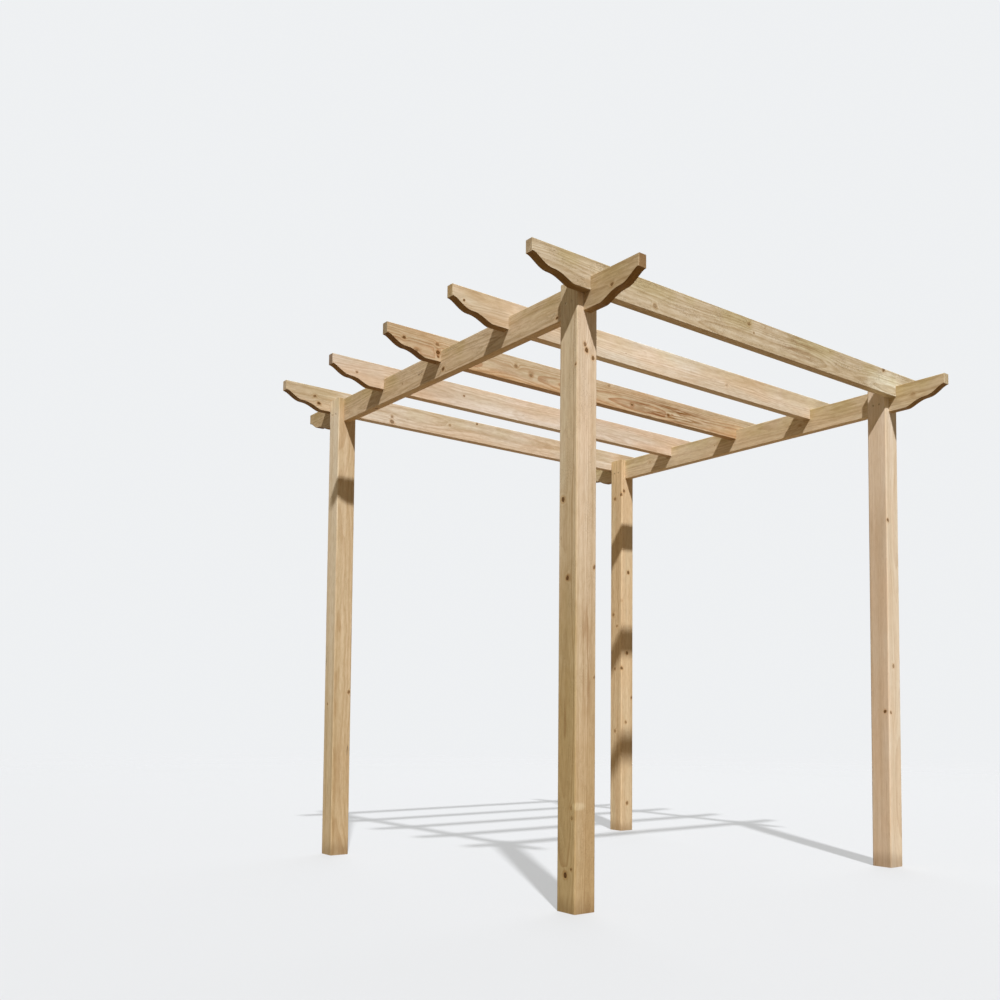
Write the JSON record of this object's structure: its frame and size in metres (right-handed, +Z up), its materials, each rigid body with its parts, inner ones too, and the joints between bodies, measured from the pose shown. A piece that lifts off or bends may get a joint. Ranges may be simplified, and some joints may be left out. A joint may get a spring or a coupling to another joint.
{
  "type": "pergola",
  "caption": "Free-standing garden pergola of square timber posts, slotted for two beams, with notched rafters across them and curved tails on every end.",
  "frame": {"origin": "on the ground, at the middle of the plan", "axes": "+X along the rafters, +Y along the beams towards the back, +Z up"},
  "size_m": [2.36, 2.275, 2.172],
  "materials": {
    "post": "sawn and planed softwood, pressure treated, dry and unpainted",
    "beam": "planed softwood, pressure treated, with a green cast on the upper edges",
    "rafter": "planed softwood, pressure treated, with a green cast on the upper edges"
  },
  "bodies": {
    "root": {"beam_left": "beam", "beam_right": "beam", "post_back_left": "post", "post_back_right": "post", "post_front_left": "post", "post_front_right": "post", "rafter_1": "rafter", "rafter_2": "rafter", "rafter_3": "rafter", "rafter_4": "rafter", "rafter_5": "rafter"}
  },
  "joints": []
}
